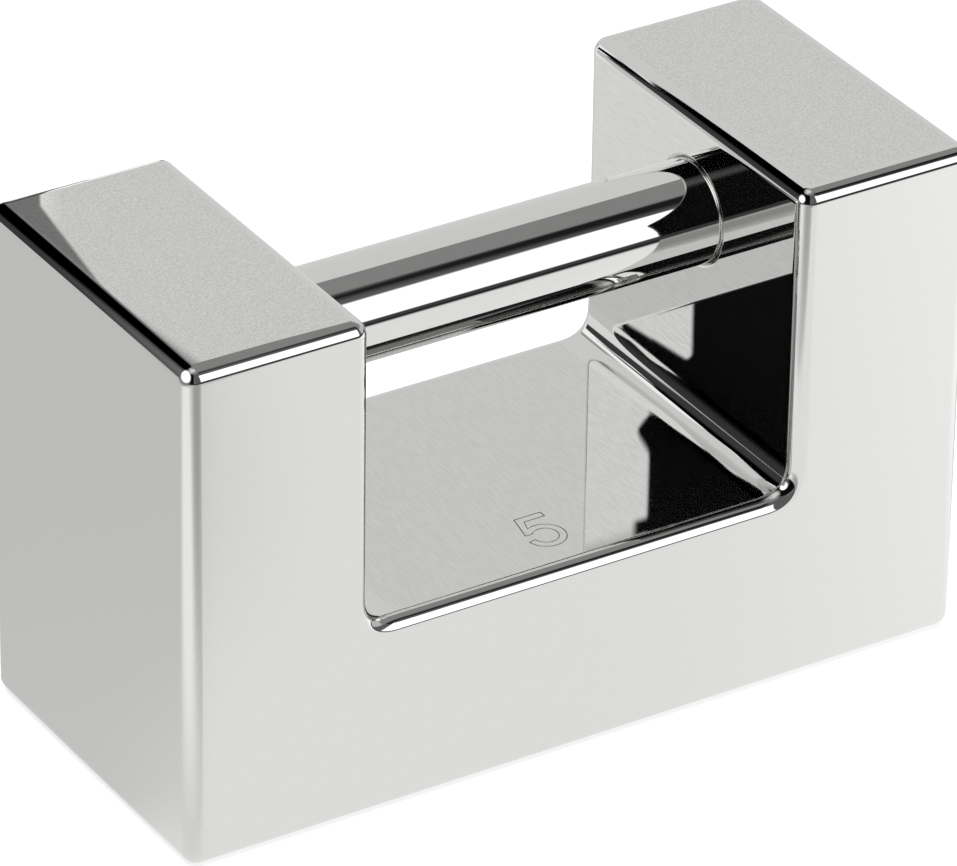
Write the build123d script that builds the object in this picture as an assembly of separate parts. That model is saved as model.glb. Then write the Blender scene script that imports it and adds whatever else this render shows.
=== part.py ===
from build123d import *
import os

# A solid stainless steel calibration weight of 5 kg: a block with a notch cut down into it
# from the top, so that two equal pillars stand on one base, and a round bar across the notch
# to lift it by. The origin is the middle of the base's underside, X runs along the block,
# Y across it and Z up. Everything is in millimetres.

# The block
block_length = 150.0
block_width = 66.0
block_height = 93.0
base_height = 36.0
pillar_length = 34.0
notch_length = block_length - 2 * pillar_length
notch_depth = block_height - base_height
outer_edge_radius = 3.8
notch_corner_radius = 5.0

# The lifting bar, and the bores that it seats in
bar_diameter = 18.4
bar_axis_height = 74.8
bar_blind_seat = 22.0
bore_mouth_chamfer = 0.6
bar_start = -notch_length / 2 - bar_blind_seat
bar_end = block_length / 2


def block_outline():
    """The block seen from the front, with the notch's two lower corners rounded."""
    plate = Pos(0, block_height / 2) * Rectangle(block_length, block_height)
    notch = Pos(0, base_height + notch_depth / 2) * Rectangle(notch_length, notch_depth)
    outline = plate - notch
    notch_corners = [
        corner
        for corner in outline.vertices()
        if abs(corner.X) < block_length / 2 - outer_edge_radius and abs(corner.Y - base_height) < 1.0
    ]
    return fillet(notch_corners, notch_corner_radius)


def rounded_block():
    """The outline carried across the width, with every outer edge rounded alike."""
    block = extrude(Plane.XZ * block_outline(), block_width / 2, both=True)
    front_edges = block.edges().filter_by_position(Axis.Y, -block_width / 2, -block_width / 2)
    rear_edges = block.edges().filter_by_position(Axis.Y, block_width / 2, block_width / 2)
    cross_edges = block.edges().filter_by(Axis.Y)
    under_edges = cross_edges.filter_by_position(Axis.Z, 0, 0)
    top_edges = cross_edges.filter_by_position(Axis.Z, block_height, block_height)
    return fillet(front_edges + rear_edges + under_edges + top_edges, outer_edge_radius)


def bar_cylinder(radius, start, end):
    """A round solid on the lifting bar's axis, from one place along the block to another."""
    middle = Pos((start + end) / 2, 0, bar_axis_height)
    return middle * Rot(0, 90, 0) * Cylinder(radius, end - start)


def weight_block():
    """The block, bored right through one pillar and part way into the other for the bar."""
    block = rounded_block() - bar_cylinder(bar_diameter / 2, bar_start, bar_end + 1.0)
    bore_mouths = [
        edge
        for edge in block.edges().filter_by(GeomType.CIRCLE)
        if abs(edge.radius - bar_diameter / 2) < 0.01
        and abs(abs(edge.center().X) - notch_length / 2) < 0.01
    ]
    return chamfer(bore_mouths, bore_mouth_chamfer)


def lifting_bar():
    """The plain round bar, seated in the blind bore and flush with the far end face."""
    return bar_cylinder(bar_diameter / 2, bar_start, bar_end)


os.makedirs("parts", exist_ok=True)
export_step(weight_block(), "parts/weight_block.step")
export_step(lifting_bar(), "parts/lifting_bar.step")
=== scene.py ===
"""A solid stainless steel calibration weight of 5 kg, in a pale studio whose reflections are painted
light on the floor, a surround and cards that only metal sees.

The weight has two pieces. The block is cut with a notch from above, so that two equal pillars
stand on one base, and its face value is engraved as an outline on the notch's floor. The
lifting bar is turned from round stock and crosses the notch near the pillars' tops.

Everything is in metres: X runs along the block, Y across it and Z up, and the origin is the
middle of the base's underside.
"""

import logging
import math
from dataclasses import dataclass, field
from enum import Enum
from typing import Callable, Sequence

import bmesh
import bpy
from mathutils import Matrix, Vector
from mathutils.geometry import delaunay_2d_cdt


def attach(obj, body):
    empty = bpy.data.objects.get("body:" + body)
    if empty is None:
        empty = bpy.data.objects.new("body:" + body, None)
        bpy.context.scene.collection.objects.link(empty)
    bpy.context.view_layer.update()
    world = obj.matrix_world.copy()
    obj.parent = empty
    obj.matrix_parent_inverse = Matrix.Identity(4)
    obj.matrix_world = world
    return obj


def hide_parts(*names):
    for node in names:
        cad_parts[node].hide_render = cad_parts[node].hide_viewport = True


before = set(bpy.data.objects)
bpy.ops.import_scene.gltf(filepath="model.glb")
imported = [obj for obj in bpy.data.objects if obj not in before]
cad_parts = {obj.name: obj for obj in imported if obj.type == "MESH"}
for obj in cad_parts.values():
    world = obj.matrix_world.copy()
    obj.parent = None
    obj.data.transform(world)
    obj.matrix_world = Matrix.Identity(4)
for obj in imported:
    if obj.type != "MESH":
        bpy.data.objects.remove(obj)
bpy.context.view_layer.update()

LOG = logging.getLogger("calibration_weight")
MM = 0.001

# How near two places, levels or directions are when they count as one
NO_LENGTH = 1e-9
SAME_PLACE = 1e-7
SAME_LEVEL = 1e-6
SAME_DIRECTION = 0.9999999

# Faces share their vertices on a fine grid, shifted so that no size falls between two marks
GRID_MARKS = 1e7
GRID_SHIFT = 0.137

# The way of filling a flat region that keeps only what lies inside its border
FILL_INSIDE = 1

WHITE = (1.0, 1.0, 1.0, 1.0)

Point2 = tuple[float, float]
Point3 = tuple[float, float, float]
Corner = tuple[Vector, Vector]
Socket = bpy.types.NodeSocket


class Zone(Enum):
    """The parts of the block's skin that are finished differently."""

    POLISHED = 0
    TOP = 1
    NOTCH = 2
    GROOVE = 3


class Side(Enum):
    """The two ends of the block and of everything that comes in pairs along it."""

    LEFT = -1
    RIGHT = 1


# ---- Shape tools ----


def turn(start: float, end: float, steps: int) -> list[float]:
    """The angles in radians from start to end, which are in degrees, in equal steps."""
    return [math.radians(start + (end - start) * i / steps) for i in range(steps + 1)]


def inside(point: Point2, loop: Sequence[Point2]) -> bool:
    """Whether a point lies inside a closed loop.

    Args:
        point: The point to test.
        loop: The loop's corners in order.

    Returns:
        True if it is inside.
    """
    x, y = point
    found = False
    for (ax, ay), (bx, by) in zip(loop, [*loop[1:], loop[0]]):
        if (ay > y) != (by > y) and x < (bx - ax) * (y - ay) / (by - ay) + ax:
            found = not found
    return found


def tiled(outer: Sequence[Point2], holes: Sequence[Sequence[Point2]]) -> list[list[Point2]]:
    """Triangles that fill a flat region with holes in it.

    Args:
        outer: The region's border.
        holes: The borders of its holes.

    Returns:
        The triangles' corners.
    """
    loops = [list(outer), *[list(hole) for hole in holes]]
    points = [Vector(corner) for loop in loops for corner in loop]
    edges = []
    first = 0
    for loop in loops:
        edges += [(first + i, first + (i + 1) % len(loop)) for i in range(len(loop))]
        first += len(loop)
    found, _, faces, *_ = delaunay_2d_cdt(points, edges, [], FILL_INSIDE, NO_LENGTH)
    triangles = []
    for face in faces:
        corners = [(found[i].x, found[i].y) for i in face]
        middle = (
            sum(c[0] for c in corners) / len(corners),
            sum(c[1] for c in corners) / len(corners),
        )
        if not any(inside(middle, hole) for hole in holes):
            triangles.append(corners)
    return triangles


def placed(name: str, data: bpy.types.ID) -> bpy.types.Object:
    """Makes an object at the origin and puts it in the scene.

    Args:
        name: The object's name.
        data: Its mesh, lamp or camera.

    Returns:
        The object.
    """
    made = bpy.data.objects.new(name, data)
    bpy.context.scene.collection.objects.link(made)
    return made


class Skin:
    """A closed skin that is gathered face by face, with the true normal at every corner."""

    def __init__(self) -> None:
        """Starts with no faces."""
        self.points: list[Vector] = []
        self.places: dict[tuple[int, int, int], int] = {}
        self.faces: list[list[int]] = []
        self.normals: list[list[Vector]] = []
        self.zones: list[Zone] = []

    def _vertex(self, point: Vector) -> int:
        """Finds the vertex at a point, which is shared with the faces already there.

        Args:
            point: The place.

        Returns:
            The vertex's number.
        """
        key = tuple(round(c * GRID_MARKS + GRID_SHIFT) for c in point)
        if key not in self.places:
            self.places[key] = len(self.points)
            self.points.append(point)
        return self.places[key]

    def add(self, corners: Sequence[Corner], zone: Zone) -> None:
        """Adds one face, turned so that it looks the way its normals do.

        Args:
            corners: Each corner's place and surface normal, in order round the face.
            zone: How this part of the skin is finished.
        """
        kept: list[int] = []
        normals: list[Vector] = []
        for point, normal in corners:
            number = self._vertex(point)
            if number not in kept:
                kept.append(number)
                normals.append(normal.normalized())
        if len(kept) < 3:
            return
        facing = Vector((0, 0, 0))
        for here, after in zip(kept, [*kept[1:], kept[0]]):
            facing += self.points[here].cross(self.points[after])
        if facing.dot(sum(normals, Vector((0, 0, 0)))) < 0:
            kept.reverse()
            normals.reverse()
        self.faces.append(kept)
        self.normals.append(normals)
        self.zones.append(zone)

    def strip(self, first: Sequence[Corner], second: Sequence[Corner], zone: Zone) -> None:
        """Joins two rows of corners, side by side and of one length, with four-sided faces."""
        for i in range(len(first) - 1):
            self.add([first[i], first[i + 1], second[i + 1], second[i]], zone)

    def flat(
        self,
        place: Callable[[Point2], Vector],
        normal: Vector,
        outer: Sequence[Point2],
        holes: Sequence[Sequence[Point2]],
        zone: Zone,
    ) -> None:
        """Fills a flat region round its holes; place puts each point of it in space."""
        for triangle in tiled(outer, holes):
            self.add([(place(corner), normal) for corner in triangle], zone)

    def mesh(self, name: str, finishes: Sequence[bpy.types.Material]) -> bpy.types.Mesh:
        """Makes the gathered faces into a mesh.

        Args:
            name: The mesh's name.
            finishes: One material for each zone, in the order of Zone.

        Returns:
            The mesh, with its true normals kept on its corners.
        """
        made = bpy.data.meshes.new(name)
        made.from_pydata([tuple(p) for p in self.points], [], self.faces)
        for finish in finishes:
            made.materials.append(finish)
        made.polygons.foreach_set("material_index", [zone.value for zone in self.zones])
        made.polygons.foreach_set("use_smooth", [True] * len(self.faces))
        made.update()
        made.normals_split_custom_set([tuple(n) for face in self.normals for n in face])
        return made


# ---- Finishes ----


class End(Enum):
    """The node that a tree ends in."""

    MATERIAL = "ShaderNodeOutputMaterial"
    WORLD = "ShaderNodeOutputWorld"
    SHAPE = "NodeGroupOutput"


class Nodes:
    """A short way to lay out a node tree."""

    def __init__(self, tree: bpy.types.NodeTree) -> None:
        """Works on the tree that it is given."""
        self.tree = tree

    def add(self, kind: str, **values: object) -> bpy.types.Node:
        """Adds a node.

        Args:
            kind: The node's type name.
            **values: Properties to set on it.

        Returns:
            The node.
        """
        node = self.tree.nodes.new(kind)
        for key, value in values.items():
            setattr(node, key, value)
        return node

    def give(self, socket: Socket, value: object) -> None:
        """Links an input to an output socket, or sets it to a plain value.

        Args:
            socket: The input.
            value: What it gets.
        """
        if isinstance(value, Socket):
            self.tree.links.new(value, socket)
        else:
            socket.default_value = value

    def feed(self, node: bpy.types.Node, **inputs: object) -> bpy.types.Node:
        """Sets or links a node's inputs by name, with underscores for spaces.

        Args:
            node: The node to feed.
            **inputs: A value or an output socket for each input.

        Returns:
            The same node.
        """
        for key, value in inputs.items():
            name = key.replace("_", " ")
            self.give(next(s for s in node.inputs if s.name == name and s.enabled), value)
        return node

    def math(self, operation: str, *inputs: object) -> Socket:
        """Adds a Math node.

        Args:
            operation: What it does.
            *inputs: Up to three numbers or output sockets.

        Returns:
            Its output socket.
        """
        node = self.add("ShaderNodeMath", operation=operation)
        for socket, value in zip(node.inputs, inputs):
            self.give(socket, value)
        return node.outputs[0]

    def noise(self, vector: Socket, scale: float, detail: float) -> Socket:
        """A Noise Texture's grey output, about 0.5 in the middle."""
        node = self.add("ShaderNodeTexNoise")
        return self.feed(node, Vector=vector, Scale=scale, Detail=detail).outputs[0]

    def remap(self, value: Socket, source: Point2, target: Point2, smooth: bool = True) -> Socket:
        """Maps one range onto another and keeps within it.

        Args:
            value: The number to map.
            source: The range that it comes from.
            target: The range that it goes to.
            smooth: Whether the ends are eased.

        Returns:
            The mapped number's socket.
        """
        easing = "SMOOTHSTEP" if smooth else "LINEAR"
        node = self.add("ShaderNodeMapRange", interpolation_type=easing)
        self.feed(node, Value=value, From_Min=source[0], From_Max=source[1])
        self.feed(node, To_Min=target[0], To_Max=target[1])
        return node.outputs[0]

    def place(self) -> Socket:
        """The Object coordinates, which every pattern here is laid out on."""
        return self.add("ShaderNodeTexCoord").outputs["Object"]

    def split(self, vector: Socket) -> Sequence[Socket]:
        """The three parts of a vector."""
        return self.feed(self.add("ShaderNodeSeparateXYZ"), Vector=vector).outputs

    def glow(self, strength: Socket | float) -> Socket:
        """White light of the given strength."""
        node = self.feed(self.add("ShaderNodeEmission"), Color=WHITE, Strength=strength)
        return node.outputs[0]

    def mix(self, share: Socket, first: Socket, second: Socket) -> Socket:
        """Mixes two shaders.

        Args:
            share: How much of the second there is.
            first: The first shader.
            second: The second shader.

        Returns:
            The mixed shader's socket.
        """
        node = self.add("ShaderNodeMixShader")
        for socket, value in zip(node.inputs, (share, first, second)):
            self.give(socket, value)
        return node.outputs[0]

    def end(self, kind: End, result: Socket) -> None:
        """Ends the tree in its output node."""
        self.give(self.add(kind.value).inputs[0], result)


def blank(name: str, lights: bool = False) -> tuple[bpy.types.Material, Nodes]:
    """Makes a material with an empty node tree.

    Args:
        name: The material's name.
        lights: Whether it gives light. It isn't sampled as a lamp.

    Returns:
        The material and its nodes.
    """
    made = bpy.data.materials.new(name)
    made.use_nodes = True
    made.node_tree.nodes.clear()
    if lights:
        made.cycles.emission_sampling = "NONE"
    return made, Nodes(made.node_tree)


# A colour Mix node's own sockets, among those for its other kinds of data
MIX_FACTOR, MIX_FIRST, MIX_SECOND = 0, 6, 7
MIX_RESULT = 2


@dataclass(frozen=True)
class SteelFinish:
    """Polished stainless steel, with a fine grain left in it."""

    name: str
    colour: Point3 = (0.755, 0.752, 0.742)
    dimmer: Point3 = (0.735, 0.732, 0.722)
    roughness: float = 0.03
    grain_roughness: float = 0.03
    grain_scale: Point3 = (2600.0, 2600.0, 2600.0)
    grain_detail: float = 3.0
    grain_range: Point2 = (0.3, 0.7)
    ripple_scale: float = 90.0
    ripple_detail: float = 1.0
    ripple_height: float = 2e-6
    metallic: float = 1.0

    def material(self) -> bpy.types.Material:
        """Builds the material.

        Returns:
            A metal whose colour and gloss vary with its grain, over a slight ripple.
        """
        made, nodes = blank(self.name)
        place = nodes.place()
        stretched = nodes.feed(nodes.add("ShaderNodeMapping"), Vector=place, Scale=self.grain_scale)
        grain = nodes.noise(stretched.outputs[0], 1.0, self.grain_detail)
        ripple = nodes.noise(place, self.ripple_scale, self.ripple_detail)
        tint = nodes.add("ShaderNodeMix", data_type="RGBA")
        nodes.give(tint.inputs[MIX_FACTOR], nodes.remap(grain, self.grain_range, (0.0, 1.0)))
        nodes.give(tint.inputs[MIX_FIRST], (*self.dimmer, 1.0))
        nodes.give(tint.inputs[MIX_SECOND], (*self.colour, 1.0))
        dullest = self.roughness + self.grain_roughness
        gloss = nodes.remap(grain, self.grain_range, (self.roughness, dullest))
        bump = nodes.add("ShaderNodeBump")
        nodes.feed(bump, Strength=1.0, Distance=self.ripple_height, Height=ripple)
        steel = nodes.feed(
            nodes.add("ShaderNodeBsdfPrincipled"),
            Base_Color=tint.outputs[MIX_RESULT],
            Metallic=self.metallic,
            Roughness=gloss,
            Normal=bump.outputs[0],
        )
        nodes.end(End.MATERIAL, steel.outputs[0])
        return made


POLISHED_BLOCK = SteelFinish("steel_mirror_block", roughness=0.03, grain_roughness=0.02)
SATIN_TOP = SteelFinish(
    "steel_fine_satin",
    colour=(0.745, 0.742, 0.732),
    dimmer=(0.590, 0.587, 0.580),
    roughness=0.006,
    grain_roughness=0.008,
    metallic=0.87,
)
BRUSHED_NOTCH = SteelFinish(
    "steel_fine_brushed",
    colour=(0.745, 0.742, 0.732),
    dimmer=(0.675, 0.672, 0.665),
    roughness=0.007,
    grain_roughness=0.012,
    grain_scale=(4200.0, 300.0, 4200.0),
    metallic=0.995,
)
ENGRAVED = SteelFinish(
    "steel_engraved_line",
    colour=(0.36, 0.36, 0.35),
    dimmer=(0.30, 0.30, 0.29),
    roughness=0.25,
    grain_roughness=0.1,
)
POLISHED_BAR = SteelFinish(
    "steel_mirror_bar",
    grain_scale=(300.0, 3000.0, 3000.0),
    roughness=0.02,
    grain_roughness=0.02,
)


# ---- The face value ----


@dataclass
class FaceValue:
    """The outline of a figure five, engraved with a fine pointed tool."""

    centre: Point2 = (-1.15 * MM, -22.65 * MM)
    bowl_outside: float = 3.55 * MM
    bowl_inside: float = 2.25 * MM
    flag_top: float = -15.90 * MM
    flag_under: float = -17.27 * MM
    flag_right: float = 1.95 * MM
    stem_top: Point2 = (-3.15 * MM, -2.01 * MM)
    stem_foot: Point2 = (-4.21 * MM, -2.93 * MM)
    foot_height: float = -21.22 * MM
    neck_angle: float = 116.0
    hook_angle: float = 141.0
    tail_angle: float = -171.0
    line_width: float = 0.20 * MM
    line_depth: float = 0.07 * MM
    sharpest_mitre: float = 0.5
    steps: int = 40

    def _arc(self, radius: float, start: float, end: float) -> list[Point2]:
        """Part of a circle about the bowl's centre.

        Args:
            radius: The circle's radius.
            start: The first angle, in degrees.
            end: The last angle.

        Returns:
            The places along it.
        """
        cx, cy = self.centre
        angles = turn(start, end, self.steps)
        return [(cx + radius * math.cos(angle), cy + radius * math.sin(angle)) for angle in angles]

    def outline(self) -> list[Point2]:
        """The middle of the engraved line.

        Returns:
            Its corners, clockwise from the flag's left end.
        """
        return [
            (self.stem_top[0], self.flag_top),
            (self.flag_right, self.flag_top),
            (self.flag_right, self.flag_under),
            (self.stem_top[1], self.flag_under),
            *self._arc(self.bowl_outside, self.neck_angle, self.tail_angle),
            *self._arc(self.bowl_inside, self.tail_angle, self.hook_angle),
            (self.stem_foot[0], self.foot_height),
        ]

    def lip(self, across: float) -> list[Point2]:
        """The outline moved sideways, with its corners kept sharp.

        Args:
            across: How far it moves, outwards if above zero.

        Returns:
            The moved corners, one for each corner of the outline.
        """
        path = [Vector(p) for p in self.outline()]
        moved = []
        for before, here, after in zip([path[-1], *path[:-1]], path, [*path[1:], path[0]]):
            first = (here - before).normalized()
            second = (after - here).normalized()
            side_a = Vector((-first.y, first.x))
            side_b = Vector((-second.y, second.x))
            mitre = (side_a + side_b).normalized()
            reach = across / max(self.sharpest_mitre, mitre.dot(side_a))
            moved.append((here.x + mitre.x * reach, here.y + mitre.y * reach))
        return moved

    def engrave(self, skin: Skin, height: float) -> list[Point2]:
        """Adds the groove, and the island of floor that it runs round.

        Args:
            skin: The skin that it is cut into.
            height: The floor's height.

        Returns:
            The groove's outer lip, which the floor leaves open.
        """
        half = self.line_width / 2
        outer = self.lip(half)
        inner = self.lip(-half)
        bottom = self.outline()
        slope = Vector((half, self.line_depth)).normalized()
        for i in range(len(bottom)):
            j = (i + 1) % len(bottom)
            along = (Vector(bottom[j]) - Vector(bottom[i])).normalized()
            outwards = Vector((-along.y, along.x))
            for lip, side in ((outer, -1.0), (inner, 1.0)):
                steep = side * slope.y
                normal = Vector((outwards.x * steep, outwards.y * steep, slope.x))
                corners = [
                    (*lip[i], height),
                    (*lip[j], height),
                    (*bottom[j], height - self.line_depth),
                    (*bottom[i], height - self.line_depth),
                ]
                skin.add([(Vector(c), normal) for c in corners], Zone.GROOVE)
        up = Vector((0, 0, 1))
        skin.flat(lambda p: Vector((*p, height)), up, inner, [], Zone.NOTCH)
        return outer


# ---- The block ----


@dataclass(frozen=True)
class SoftEdge:
    """A rounded edge that leaves its flats gently and turns fastest in its middle."""

    size: float = 2.75 * MM
    power: float = 2.04

    def at(self, direction: Vector) -> Corner:
        """The edge's surface in one direction.

        Args:
            direction: From the flats' borders outwards, of any length.

        Returns:
            The place, measured from where the borders meet, and the surface normal there.
        """
        reach = sum(abs(c) ** self.power for c in direction) ** (1 / self.power)
        unit = direction / reach
        normal = Vector([math.copysign(abs(c) ** (self.power - 1), c) for c in unit])
        return unit * self.size, normal.normalized()


@dataclass
class WeightBlock:
    """The block, with its notch, its rounded edges and the bores that the bar seats in."""

    length: float = 150.0 * MM
    width: float = 66.0 * MM
    height: float = 93.0 * MM
    base_height: float = 36.0 * MM
    pillar: float = 34.0 * MM
    edge: SoftEdge = SoftEdge()
    notch_corner: SoftEdge = SoftEdge(6.0 * MM, 3.0)
    bar_height: float = 74.8 * MM
    bore: float = 9.21 * MM
    mouth: float = 0.8 * MM
    end_mouth: float = 0.12 * MM
    blind_depth: float = 22.0 * MM
    edge_steps: int = 24
    corner_steps: int = 28
    bore_steps: int = 160
    mouth_steps: int = 8
    face_value: FaceValue = field(default_factory=FaceValue)

    @property
    def half_notch(self) -> float:
        """Half the notch's length."""
        return self.length / 2 - self.pillar

    def _row(self, lean: float, side: float) -> list[Corner]:
        """One row of places that runs right round the block, as seen from the front.

        Args:
            lean: How far round the front or rear edge it lies, from 0 on the sides to a quarter turn.
            side: -1 for the front and 1 for the rear.

        Returns:
            The row's places and normals, in order round the block.
        """
        size = self.edge.size
        notch = self.half_notch
        x = self.length / 2 - size
        z = self.height - size
        inner = side * (self.width / 2 - size)
        across = math.cos(lean)
        up = side * math.sin(lean)
        before = [(-x, size, 180), (x, size, 270), (x, z, 0), (notch + size, z, 90)]
        after = [(-notch - size, z, 0), (-x, z, 90)]
        return [
            *self._outer_corners(before, across, up, inner),
            *self._inner_corners(across, up, inner),
            *self._outer_corners(after, across, up, inner),
        ]

    def _outer_corners(
        self, corners: Sequence[Point3], across: float, up: float, inner: float
    ) -> list[Corner]:
        """The part of a row that runs round some of the block's outer corners.

        Args:
            corners: Where each corner's centre lies along the block and up, and its first angle.
            across: How much the edge looks along the row's plane.
            up: How much it looks to the front or the rear.
            inner: Where the rounded edge begins across the block.

        Returns:
            The places and normals.
        """
        row = []
        for cx, cz, start in corners:
            for angle in turn(start, start + 90, self.edge_steps):
                direction = Vector((math.cos(angle) * across, up, math.sin(angle) * across))
                offset, normal = self.edge.at(direction)
                row.append((Vector((cx, inner, cz)) + offset, normal))
        return row

    def _inner_corners(self, across: float, up: float, inner: float) -> list[Corner]:
        """The part of a row that runs round the notch's two lower corners.

        Args:
            across: How much the edge looks towards the notch.
            up: How much it looks to the front or the rear.
            inner: Where the rounded edge begins across the block.

        Returns:
            The places and normals.
        """
        deep = self.notch_corner.size
        notch = self.half_notch
        offset, normal = self.edge.at(Vector((across, up, 0)))
        deeper = self.edge.size - offset.x
        height = self.base_height + deep
        row = []
        for cx, start, end in ((notch - deep, 180, 90), (deep - notch, 90, 0)):
            for angle in turn(start, end, self.corner_steps):
                reach, facing = self.notch_corner.at(Vector((math.cos(angle), 0, math.sin(angle))))
                place = Vector((cx, inner + offset.y, height)) - reach - facing * deeper
                row.append((place, Vector((facing.x * normal.x, normal.y, facing.z * normal.x))))
        return row

    def _ring(self, x: float, radius: float, along: float, inwards: float) -> list[Corner]:
        """A circle of places round the bar's axis.

        Args:
            x: Where it lies along the block.
            radius: Its radius.
            along: How much its normals look along the block.
            inwards: How much they look at the axis.

        Returns:
            The ring, closed on its first place.
        """
        ring = []
        for i in range(self.bore_steps + 1):
            angle = math.tau * (i % self.bore_steps) / self.bore_steps
            c = math.cos(angle)
            s = math.sin(angle)
            place = Vector((x, radius * c, self.bar_height + radius * s))
            ring.append((place, Vector((along, -c * inwards, -s * inwards))))
        return ring

    def _circle(self, radius: float) -> list[Point2]:
        """A hole round the bar's axis, as places across the block and up."""
        return [(place.y, place.z) for place, _ in self._ring(0.0, radius, 1.0, 0.0)[:-1]]

    def _bore(self, skin: Skin, side: Side) -> None:
        """Adds one bore with its rounded mouth.

        Args:
            skin: The skin that it is cut into.
            side: The left bore is blind, and the right one goes through to the end face.
        """
        out = side.value
        face = out * self.length / 2
        wall = out * self.half_notch
        deep = wall + out * self.mouth
        through = side is Side.RIGHT
        end = face - out * self.end_mouth if through else wall + out * self.blind_depth
        rings = []
        for lean in turn(0, 90, self.mouth_steps):
            inwards = math.sin(lean)
            across = math.cos(lean)
            x = deep - out * self.mouth * across
            rings.append(self._ring(x, self.bore + self.mouth * (1 - inwards), -out * across, inwards))
        for first, second in zip(rings[:-1], rings[1:]):
            skin.strip(first, second, Zone.POLISHED)
        tube = (self._ring(x, self.bore, 0.0, 1.0) for x in (deep, end))
        skin.strip(*tube, Zone.POLISHED)
        if through:
            rim = self._ring(end, self.bore, out, 1.0)
            skin.strip(rim, self._ring(face, self.bore + self.end_mouth, out, 1.0), Zone.POLISHED)
            return
        bottom = self._circle(self.bore)
        skin.flat(lambda p: Vector((end, *p)), Vector((-out, 0, 0)), bottom, [], Zone.POLISHED)

    def _sides(self, skin: Skin) -> None:
        """Adds the skin between the front and the rear rounded edges.

        Args:
            skin: The skin that it is part of.
        """
        inner = self.width / 2 - self.edge.size
        path = self._row(0.0, 1.0)
        for (a, a_normal), (b, b_normal) in zip(path, [*path[1:], path[0]]):
            if (a - b).length < NO_LENGTH:
                continue
            if a_normal.dot(b_normal) > SAME_DIRECTION:
                self._panel(skin, a, b, a_normal)
                continue
            front = [(Vector((a.x, -inner, a.z)), a_normal), (Vector((b.x, -inner, b.z)), b_normal)]
            rear = [(Vector((b.x, inner, b.z)), b_normal), (Vector((a.x, inner, a.z)), a_normal)]
            skin.add([*front, *rear], Zone.POLISHED)

    def _panel(self, skin: Skin, a: Vector, b: Vector, normal: Vector) -> None:
        """Adds one flat panel of the sides, with the bore or the engraving that is cut into it.

        Args:
            skin: The skin that it is part of.
            a: One end of the panel in the outline.
            b: The other end.
            normal: The direction that it looks in.
        """
        inner = self.width / 2 - self.edge.size
        holes = []
        zone = Zone.POLISHED
        if abs(normal.x) > abs(normal.z):
            x = a.x
            border = [(-inner, a.z), (inner, a.z), (inner, b.z), (-inner, b.z)]
            if abs(abs(x) - self.half_notch) < SAME_LEVEL:
                holes = [self._circle(self.bore + self.mouth)]
                zone = Zone.NOTCH
            elif x > 0:
                holes = [self._circle(self.bore + self.end_mouth)]
            skin.flat(lambda p: Vector((x, *p)), normal, border, holes, zone)
            return
        z = a.z
        border = [(a.x, -inner), (b.x, -inner), (b.x, inner), (a.x, inner)]
        if abs(z - self.base_height) < SAME_LEVEL:
            holes = [self.face_value.engrave(skin, z)]
            zone = Zone.NOTCH
        elif z > self.base_height:
            zone = Zone.TOP
        skin.flat(lambda p: Vector((*p, z)), normal, border, holes, zone)

    def _faces(self, skin: Skin) -> None:
        """Adds the front and rear faces and the rounded edges that run round them.

        Args:
            skin: The skin that they are part of.
        """
        leans = turn(0, 90, self.edge_steps)
        for side in (-1.0, 1.0):
            rows = [self._row(lean, side) for lean in leans]
            for first, second in zip(rows[:-1], rows[1:]):
                skin.strip([*first, first[0]], [*second, second[0]], Zone.POLISHED)
            border: list[Point2] = []
            for point, _ in rows[-1]:
                if not border or math.dist(border[-1], (point.x, point.z)) > SAME_PLACE:
                    border.append((point.x, point.z))
            if math.dist(border[0], border[-1]) < SAME_PLACE:
                border.pop()
            y = side * self.width / 2
            skin.flat(lambda p: Vector((p[0], y, p[1])), Vector((0, side, 0)), border, [], Zone.POLISHED)

    def build(self, finishes: Sequence[bpy.types.Material]) -> bpy.types.Object:
        """Builds the block.

        Args:
            finishes: One material for each zone.

        Returns:
            The block's object, at the origin.
        """
        skin = Skin()
        self._sides(skin)
        self._faces(skin)
        for side in Side:
            self._bore(skin, side)
        name = "weight_block_polished"
        return placed(name, skin.mesh(name, finishes))

    def dress(self, piece: bpy.types.Object) -> None:
        """Puts the block in the frame, in the place of its plain solid.

        Args:
            piece: The block's object.
        """
        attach(piece, "root")
        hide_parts("weight_block")
        LOG.info("%s: %d faces", piece.name, len(piece.data.polygons))


# ---- The lifting bar ----


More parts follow.
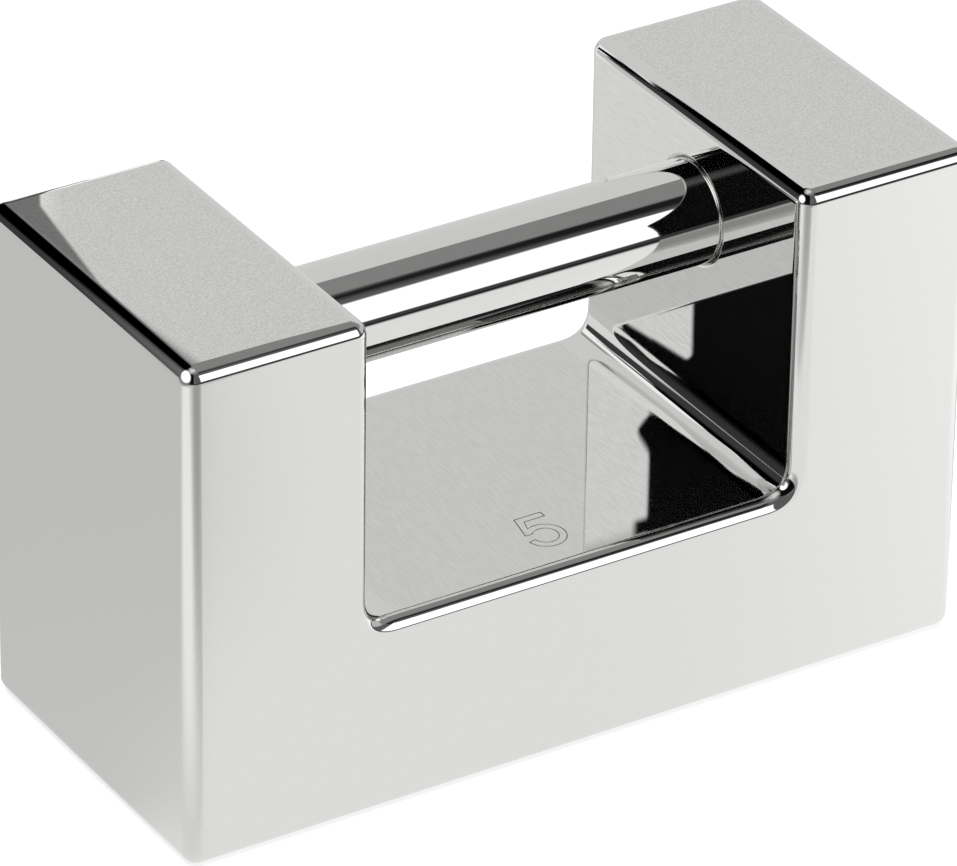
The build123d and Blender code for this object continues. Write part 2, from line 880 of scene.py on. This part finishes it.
@dataclass
class LiftingBar:
    """The round bar, turned and polished, with a small chamfer at each end."""

    start: float = -63.0 * MM
    end: float = 75.0 * MM
    radius: float = 9.2 * MM
    axis_height: float = 74.8 * MM
    chamfer: float = 0.12 * MM
    facets: int = 192
    end_lean: float = 0.99
    chamfer_lean: float = 0.1

    def _tree(self, finish: bpy.types.Material) -> bpy.types.NodeTree:
        """Builds the tree that turns the bar from its sizes.

        Args:
            finish: The bar's material.

        Returns:
            A geometry node tree with named inputs.
        """
        tree = bpy.data.node_groups.new("turned_bar", "GeometryNodeTree")
        sockets = tree.interface
        sockets.new_socket("Geometry", in_out="OUTPUT", socket_type="NodeSocketGeometry")
        for name in ("Start", "End", "Radius", "Axis Height", "Chamfer"):
            sockets.new_socket(name, in_out="INPUT", socket_type="NodeSocketFloat")
        sockets.new_socket("Facets", in_out="INPUT", socket_type="NodeSocketInt")
        nodes = Nodes(tree)
        given = nodes.add("NodeGroupInput").outputs
        length = nodes.math("SUBTRACT", given["End"], given["Start"])

        # Stock with four rings of vertices, at 0.5 and 1.5 on either side of its middle
        stock = nodes.add("GeometryNodeMeshCylinder", fill_type="NGON")
        nodes.feed(stock, Vertices=given["Facets"], Side_Segments=3, Radius=given["Radius"], Depth=3.0)
        x, y, z = nodes.split(nodes.add("GeometryNodeInputPosition").outputs[0])

        # Each ring's station along the bar: the end rings at its ends, the others a chamfer inside
        outer = nodes.math("GREATER_THAN", nodes.math("ABSOLUTE", z), 1.0)
        upper = nodes.math("GREATER_THAN", z, 0.0)
        inset = nodes.math("MULTIPLY", nodes.math("SUBTRACT", 1.0, outer), given["Chamfer"])
        facing = nodes.math("SUBTRACT", 1.0, nodes.math("MULTIPLY", upper, 2.0))
        station = nodes.math("ADD", given["Start"], nodes.math("MULTIPLY", upper, length))
        along = nodes.math("ADD", station, nodes.math("MULTIPLY", inset, facing))

        # The end rings are smaller by the chamfer
        cut = nodes.math("MULTIPLY", outer, nodes.math("DIVIDE", given["Chamfer"], given["Radius"]))
        scale = nodes.math("SUBTRACT", 1.0, cut)
        across = nodes.math("MULTIPLY", x, scale)
        lifted = nodes.math("ADD", nodes.math("MULTIPLY", y, scale), given["Axis Height"])
        turned = nodes.feed(nodes.add("ShaderNodeCombineXYZ"), X=along, Y=across, Z=lifted).outputs[0]

        shaped = nodes.add("GeometryNodeSetPosition")
        nodes.feed(shaped, Geometry=stock.outputs["Mesh"], Position=turned)
        realized = nodes.feed(nodes.add("GeometryNodeRealizeInstances"), Geometry=shaped.outputs[0])
        dressed = nodes.add("GeometryNodeSetMaterial")
        nodes.feed(dressed, Geometry=realized.outputs[0], Material=finish)
        nodes.end(End.SHAPE, dressed.outputs[0])
        return tree

    def build(self, finish: bpy.types.Material) -> bpy.types.Object:
        """Builds the bar.

        Args:
            finish: The bar's material.

        Returns:
            The bar's object, at the origin.
        """
        tree = self._tree(finish)
        worker = placed("bar_worker", bpy.data.meshes.new("bar_worker"))
        modifier = worker.modifiers.new("turned_bar", "NODES")
        modifier.node_group = tree
        sizes = {
            "Start": self.start,
            "End": self.end,
            "Radius": self.radius,
            "Axis Height": self.axis_height,
            "Chamfer": self.chamfer,
            "Facets": self.facets,
        }
        for item in tree.interface.items_tree:
            if item.in_out == "INPUT":
                modifier[item.identifier] = sizes[item.name]
        evaluated = worker.evaluated_get(bpy.context.evaluated_depsgraph_get())
        mesh = bpy.data.meshes.new_from_object(evaluated)
        bpy.data.objects.remove(worker)
        mesh.name = "lifting_bar_polished"
        self._shade(mesh)
        return placed("lifting_bar_polished", mesh)

    def _shade(self, mesh: bpy.types.Mesh) -> None:
        """Gives the bar's round side its true normals and keeps its ends flat.

        Args:
            mesh: The bar's mesh.
        """
        normals = []
        for face in mesh.polygons:
            along = abs(face.normal.x)
            for corner in face.loop_indices:
                place = mesh.vertices[mesh.loops[corner].vertex_index].co
                out = Vector((0, place.y, place.z - self.axis_height)).normalized()
                if along > self.end_lean:
                    normals.append(tuple(face.normal))
                elif along > self.chamfer_lean:
                    ends = Vector((math.copysign(1.0, face.normal.x), 0, 0))
                    normals.append(tuple((out + ends).normalized()))
                else:
                    normals.append(tuple(out))
        mesh.polygons.foreach_set("use_smooth", [True] * len(mesh.polygons))
        mesh.normals_split_custom_set(normals)

    def dress(self, piece: bpy.types.Object) -> None:
        """Puts the bar in the frame, in the place of its plain solid.

        Args:
            piece: The bar's object.
        """
        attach(piece, "root")
        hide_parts("lifting_bar")
        LOG.info("%s: %d faces", piece.name, len(piece.data.polygons))


# ---- The studio ----


# Directions on a painted surface, in degrees
RIGHT, UP, LEFT, DOWN = 0, 90, 180, -90


@dataclass(frozen=True)
class Cut:
    """A soft straight line that a patch of light stops at.

    The patch is kept in the direction of towards, in degrees, beyond the distance at from the
    surface's origin. The line is as wide as blur.
    """

    towards: float
    at: float
    blur: float


@dataclass(frozen=True)
class Patch:
    """An area of even light, bounded by soft straight lines, on a surface with two coordinates."""

    light: float
    cuts: tuple[Cut, ...]

    def cover(self, nodes: Nodes, u: Socket, v: Socket) -> Socket:
        """Works out how far the patch covers each place.

        Args:
            nodes: The tree that it is laid out in.
            u: The first coordinate.
            v: The second coordinate.

        Returns:
            A socket that is 1 within the patch and 0 outside it.
        """
        covered = None
        for cut in self.cuts:
            angle = math.radians(cut.towards)
            across = nodes.math("MULTIPLY", u, math.cos(angle))
            reach = nodes.math("MULTIPLY_ADD", v, math.sin(angle), across)
            kept = nodes.remap(reach, (cut.at - cut.blur / 2, cut.at + cut.blur / 2), (0.0, 1.0))
            covered = kept if covered is None else nodes.math("MULTIPLY", covered, kept)
        return covered


@dataclass(frozen=True)
class Spot:
    """A round or oval area of even light with a soft edge."""

    light: float
    centre: Point2
    radii: Point2
    blur: float

    def cover(self, nodes: Nodes, u: Socket, v: Socket) -> Socket:
        """Works out how far the spot covers each place.

        Args:
            nodes: The tree that it is laid out in.
            u: The first coordinate.
            v: The second coordinate.

        Returns:
            A socket that is 1 within the spot and 0 outside it.
        """
        across = nodes.math("DIVIDE", nodes.math("SUBTRACT", u, self.centre[0]), self.radii[0])
        up = nodes.math("DIVIDE", nodes.math("SUBTRACT", v, self.centre[1]), self.radii[1])
        squared = nodes.math("MULTIPLY_ADD", across, across, nodes.math("MULTIPLY", up, up))
        away = nodes.math("SQRT", squared)
        return nodes.remap(away, (1 - self.blur, 1 + self.blur), (1.0, 0.0))


Area = Patch | Spot


def within(light: float, u: Point2, v: Point2, blur: tuple[float, float, float, float]) -> Patch:
    """A patch with four sides.

    Args:
        light: Its light.
        u: Where it begins and ends in the first coordinate.
        v: Where it begins and ends in the second coordinate.
        blur: How soft its four sides are, in the same order.

    Returns:
        The patch.
    """
    sides = ((RIGHT, u[0]), (LEFT, -u[1]), (UP, v[0]), (DOWN, -v[1]))
    return Patch(light, tuple(Cut(towards, at, soft) for (towards, at), soft in zip(sides, blur)))


def painted(
    nodes: Nodes, u: Socket, v: Socket, base: float, areas: Sequence[Area]
) -> tuple[Socket, Socket]:
    """Paints areas of light one over the other.

    Args:
        nodes: The tree that they are laid out in.
        u: The first coordinate.
        v: The second coordinate.
        base: The light where nothing is painted.
        areas: The areas, from the lowest to the topmost.

    Returns:
        The light, and how far any area covers the place.
    """
    light: object = base
    clear: object = 1.0
    for area in areas:
        cover = area.cover(nodes, u, v)
        left = nodes.math("SUBTRACT", 1.0, cover)
        light = nodes.math("MULTIPLY_ADD", left, light, nodes.math("MULTIPLY", cover, area.light))
        clear = nodes.math("MULTIPLY", clear, left)
    return light, nodes.math("SUBTRACT", 1.0, clear)


# Painted reflection of a table: light that the floor gives to glossy rays alone, by places to the right
# and to the rear, in millimetres
TABLE_BASE = 0.66
TABLE_LIGHT = (
    # It is a little brighter in front of the weight, with a pool of light on the left
    Patch(0.70, (Cut(DOWN, -40, 120),)),
    Spot(1.05, (-190, -60), (100, 75), 0.5),
    # Bright strips before the front face, brighter to the right, and a dim pool to the left
    Patch(0.95, (Cut(30, -84, 16), Cut(DOWN, 20, 30))),
    Patch(1.24, (Cut(30, 60, 160), Cut(DOWN, 20, 30))),
    Spot(0.42, (-80, -280), (90, 160), 0.4),
    # Painted dark reflection of the table's end and of a dark room beyond it
    Patch(0.02, (Cut(-60, 400, 170),)),
    Patch(0.06, (Cut(-110, 500, 300),)),
)

# Painted reflections of a room round the weight, as light on a surround that only metal sees, by bearing
# from the rear towards the right and by height, in degrees
SURROUND_BASE = 0.60
SURROUND_LIGHT = (
    # Painted reflection of a pale ceiling
    Patch(0.80, (Cut(UP, 76, 8),)),
    # Painted dark reflection of a wall on the left and at the rear, with a painted pale band for the
    # table's end under it
    within(0.0, (222, 400), (-90, 66), (20, 1, 1, 16)),
    within(0.0, (-40, 26), (-90, 66), (1, 6, 1, 16)),
    within(0.05, (250, 350), (-90, 24), (30, 10, 1, 10)),
    within(0.66, (250, 350), (-90, -3), (30, 10, 1, 6)),
    # Painted grey reflection of an upper wall, from the rear round to the front
    within(0.28, (20, 225), (30, 76), (10, 20, 10, 12)),
    # Painted dark reflection of the front, with painted black beside a painted bright strip for a tall
    # window
    within(0.004, (196, 260), (-90, 64), (20, 20, 1, 12)),
    within(0.13, (122, 196), (-90, 60), (6, 8, 1, 12)),
    within(0.015, (124, 138), (38, 58), (4, 10, 6, 8)),
    within(1.60, (141, 156.5), (1.5, 41), (1.5, 1, 2.5, 4)),
    within(0.10, (130, 175), (-90, -1), (6, 6, 1, 3)),
)

# The card behind the weight, painted with areas of light and black that show as reflections in metal, by
# places to the right and up, in millimetres
NEAR_SLANT = Cut(-44, -123, 2)
NEAR_SIDE = Cut(RIGHT, -40, 1)
NEAR_LIGHT = (
    # Its plain face, and its tall right wing
    Patch(0.76, (Cut(RIGHT, -25.8, 1.2), NEAR_SLANT)),
    Patch(0.76, (Cut(RIGHT, 30, 2), Cut(DOWN, -470, 2), Cut(-27.3, -68, 2))),
    # The brighter strips along its left side, the dimmer foot and a grey patch on the face
    Patch(0.95, (Cut(RIGHT, -33, 2), Cut(LEFT, 20, 6), Cut(UP, 141, 4), NEAR_SLANT)),
    within(1.14, (-25.8, 0), (-20, 138), (1.2, 12, 1, 4)),
    Patch(
        1.14,
        (Cut(RIGHT, -35, 1.2), Cut(228.8, -55.5, 1.2), Cut(294.4, -108, 1.2))
        + (Cut(LEFT, 18, 10), Cut(UP, 91, 2)),
    ),
    within(0.88, (-60, 0), (-90, 46), (20, 10, 1, 8)),
    within(0.35, (3, 17), (88, 118), (2, 2, 2, 4)),
    # Painted black areas over its left side, in two parts, and a thin painted black line above them,
    # which show as dark reflections in metal
    Patch(0.0, (Cut(48.8, 55.5, 1), Cut(224.2, -59.4, 1), Cut(LEFT, 19, 1), NEAR_SIDE)),
    Patch(
        0.0,
        (Cut(LEFT, 23.2, 1.4), Cut(UP, 113, 1.4), Cut(209.4, -37, 1.6), Cut(135, 97.9, 1.6), NEAR_SIDE),
    ),
    within(0.0, (-40, -23), (135.8, 139), (1, 2, 2, 1)),
)

# A grey card before that card, painted with a bent left side, which puts a dark reflection on the left
# pillar's top, in the same measures
FLAG_SLANT = Cut(-41, -116.5, 2)
FLAG_FOOT = Cut(UP, 100, 4)
FLAG_LIGHT = (
    Patch(0.11, (Cut(148.5, 102.1, 0.8), FLAG_SLANT, FLAG_FOOT)),
    Patch(0.11, (Cut(LEFT, 50.2, 0.8), Cut(DOWN, -113.5, 1), FLAG_SLANT, FLAG_FOOT)),
)

# A painted round highlight on the left, with its halo: a glowing card that shows only in metal
LEFT_LIGHT = (Spot(0.2, (0, 0), (140, 140), 0.2), Spot(1.7, (0, 0), (106, 106), 0.12))


def plate(name: str, half: Point2, up: Vector) -> bpy.types.Mesh:
    """A flat four-sided mesh about the origin.

    Args:
        name: The mesh's name.
        half: Half its length along X and half its height.
        up: The direction of its height.

    Returns:
        The mesh.
    """
    mesh = bpy.data.meshes.new(name)
    signs = ((-1, -1), (1, -1), (1, 1), (-1, 1))
    corners = [Vector((half[0] * x, 0, 0)) + up * (half[1] * y) for x, y in signs]
    mesh.from_pydata(corners, [], [(0, 1, 2, 3)])
    return mesh


def staged(made: bpy.types.Object) -> bpy.types.Object:
    """Lets an object show in polished metal alone.

    Args:
        made: The object.

    Returns:
        The same object.
    """
    for rays in ("camera", "diffuse", "transmission", "volume_scatter", "shadow"):
        setattr(made, f"visible_{rays}", False)
    return made


@dataclass(frozen=True)
class Card:
    """A flat card that stands in the studio, painted with areas of light and black that show as
    reflections in metal alone, and clear where it has no light.

    Its centre and size are in millimetres, and facing turns it about the vertical, in degrees.
    """

    name: str
    centre: Point3
    size: Point2
    facing: float
    areas: tuple[Area, ...]

    def hang(self) -> bpy.types.Object:
        """Makes the card.

        Returns:
            The card's object, which shows in polished metal alone.
        """
        half = (self.size[0] / 2 * MM, self.size[1] / 2 * MM)
        mesh = plate(self.name, half, Vector((0, 0, 1)))
        mesh.materials.append(self._material())
        made = placed(self.name, mesh)
        spin = Matrix.Rotation(math.radians(-self.facing), 4, "Z")
        made.matrix_world = Matrix.Translation(Vector(self.centre) * MM) @ spin
        return staged(made)

    def _material(self) -> bpy.types.Material:
        """Builds the card's light.

        Returns:
            A material that gives light within its areas and is clear outside them.
        """
        made, nodes = blank(self.name, lights=True)
        parts = nodes.split(nodes.place())
        u = nodes.math("DIVIDE", parts[0], MM)
        v = nodes.math("DIVIDE", parts[2], MM)
        # Painted reflections: the card's areas of light and black
        light, cover = painted(nodes, u, v, 0.0, self.areas)
        full = nodes.math("DIVIDE", light, nodes.math("MAXIMUM", cover, 0.001))
        glow = nodes.glow(full)
        clear = nodes.add("ShaderNodeBsdfTransparent").outputs[0]
        nodes.end(End.MATERIAL, nodes.mix(cover, clear, glow))
        return made


CARDS = (
    Card("card_near", (0, 112, 0), (1400, 1400), 0, NEAR_LIGHT),
    Card("card_flag", (0, 60, 0), (170, 330), 0, FLAG_LIGHT),
    Card("card_left", (-169, -45, 198), (340, 340), -75, LEFT_LIGHT),
)


@dataclass
class Studio:
    """The pale floor, the soft overhead lamp, and the surround and cards that carry painted reflections.
    """

    floor_size: float = 12.0
    floor_tint: float = 0.8
    floor_glow: float = 0.5
    surround_radius: float = 3.0
    surround_splits: int = 4
    lamp_place: Point3 = (-0.15, -0.1, 1.4)
    lamp_size: float = 1.6
    lamp_power: float = 16.0
    sky: float = 0.55
    mirror_bounces: int = 10

    def _floor(self) -> None:
        """Lays the floor, which keeps the weight's shadow; in metal alone it shows a table with painted
        light and painted dark areas.
        """
        half = self.floor_size / 2
        made = placed("floor", plate("floor", (half, half), Vector((0, 1, 0))))
        material, nodes = blank("floor_pale", lights=True)
        path = nodes.add("ShaderNodeLightPath").outputs
        tint = (self.floor_tint, self.floor_tint, self.floor_tint, 1.0)
        cloth = nodes.feed(nodes.add("ShaderNodeBsdfDiffuse"), Color=tint).outputs[0]
        seen = nodes.add("ShaderNodeAddShader")
        nodes.give(seen.inputs[0], cloth)
        nodes.give(seen.inputs[1], nodes.glow(self.floor_glow))
        parts = nodes.split(nodes.place())
        u = nodes.math("DIVIDE", parts[0], MM)
        v = nodes.math("DIVIDE", parts[1], MM)
        # Painted reflection: the table's light and dark areas, which glossy rays alone see
        light, _ = painted(nodes, u, v, TABLE_BASE, TABLE_LIGHT)
        plain = nodes.mix(path["Is Camera Ray"], cloth, seen.outputs[0])
        nodes.end(End.MATERIAL, nodes.mix(path["Is Glossy Ray"], plain, nodes.glow(light)))
        made.data.materials.append(material)

    def _surround(self) -> None:
        """Hangs a round surround that only metal sees, painted with reflected light by bearing from the
        rear and by height in degrees.
        """
        mesh = bpy.data.meshes.new("surround")
        shell = bmesh.new()
        bmesh.ops.create_icosphere(shell, subdivisions=self.surround_splits, radius=self.surround_radius)
        shell.to_mesh(mesh)
        shell.free()
        material, nodes = blank("surround", lights=True)
        aim = nodes.feed(nodes.add("ShaderNodeVectorMath", operation="NORMALIZE"), Vector=nodes.place())
        x, y, z = nodes.split(aim.outputs[0])
        turned = nodes.math("DEGREES", nodes.math("ARCTAN2", x, y))
        bearing = nodes.math("FLOORED_MODULO", turned, 360.0)
        height = nodes.math("DEGREES", nodes.math("ARCSINE", z))
        # Painted reflections of the room, as the surround's glow
        light, _ = painted(nodes, bearing, height, SURROUND_BASE, SURROUND_LIGHT)
        nodes.end(End.MATERIAL, nodes.glow(light))
        mesh.materials.append(material)
        staged(placed("surround", mesh))

    def _world(self) -> None:
        """Sets a white background for what is seen directly, and a soft sky."""
        world = bpy.data.worlds.new("surround")
        bpy.context.scene.world = world
        world.use_nodes = True
        world.node_tree.nodes.clear()
        nodes = Nodes(world.node_tree)
        path = nodes.add("ShaderNodeLightPath").outputs
        seen = nodes.math("MAXIMUM", path["Is Camera Ray"], path["Is Glossy Ray"])
        seen = nodes.math("MAXIMUM", seen, path["Is Transmission Ray"])
        strength = nodes.remap(seen, (0.0, 1.0), (self.sky, 1.0), smooth=False)
        sky = nodes.feed(nodes.add("ShaderNodeBackground"), Color=WHITE, Strength=strength)
        nodes.end(End.WORLD, sky.outputs[0])

    def _lamp(self) -> None:
        """Hangs one broad lamp over the weight."""
        data = bpy.data.lights.new("overhead", "AREA")
        data.shape = "DISK"
        data.size = self.lamp_size
        data.energy = self.lamp_power
        lamp = placed("overhead", data)
        lamp.location = self.lamp_place
        lamp.visible_glossy = False

    def build(self) -> None:
        """Builds the whole studio."""
        self._floor()
        self._surround()
        self._world()
        self._lamp()
        for card in CARDS:
            card.hang()
        scene = bpy.context.scene
        scene.view_settings.view_transform = "Standard"
        scene.cycles.glossy_bounces = self.mirror_bounces
        LOG.info("studio: %d cards", len(CARDS))


@dataclass(frozen=True)
class Viewpoint:
    """Where the camera stands and how it looks."""

    azimuth: float = -32.028
    elevation: float = 30.414
    roll: float = 0.836
    distance: float = 1.28471
    target: Point3 = (-0.000376, 0.0, 0.043862)
    sensor: float = 36.0
    lens: float = 289.65
    nearest: float = 0.05
    farthest: float = 50.0

    def set_up(self) -> None:
        """Makes the scene's camera."""
        a, e, r = (math.radians(v) for v in (self.azimuth, self.elevation, self.roll))
        back = Vector((math.sin(a) * math.cos(e), -math.cos(a) * math.cos(e), math.sin(e)))
        right = (-back).cross(Vector((0, 0, 1))).normalized()
        up = back.cross(right)
        rolled_right = right * math.cos(r) + up * math.sin(r)
        rolled_up = up * math.cos(r) - right * math.sin(r)
        data = bpy.data.cameras.new("camera")
        data.sensor_width = self.sensor
        data.lens = self.lens
        data.clip_start = self.nearest
        data.clip_end = self.farthest
        camera = placed("camera", data)
        turned = Matrix((rolled_right, rolled_up, back)).transposed().to_4x4()
        camera.matrix_world = Matrix.Translation(Vector(self.target) + back * self.distance) @ turned
        bpy.context.scene.camera = camera


def main() -> None:
    """Builds the weight, its studio and its camera in order."""
    logging.basicConfig(level=logging.INFO, format="%(message)s")
    block = WeightBlock()
    finishes = [f.material() for f in (POLISHED_BLOCK, SATIN_TOP, BRUSHED_NOTCH, ENGRAVED)]
    block.dress(block.build(finishes))
    bar = LiftingBar()
    bar.dress(bar.build(POLISHED_BAR.material()))
    Studio().build()
    Viewpoint().set_up()


if __name__ == "__main__":
    main()
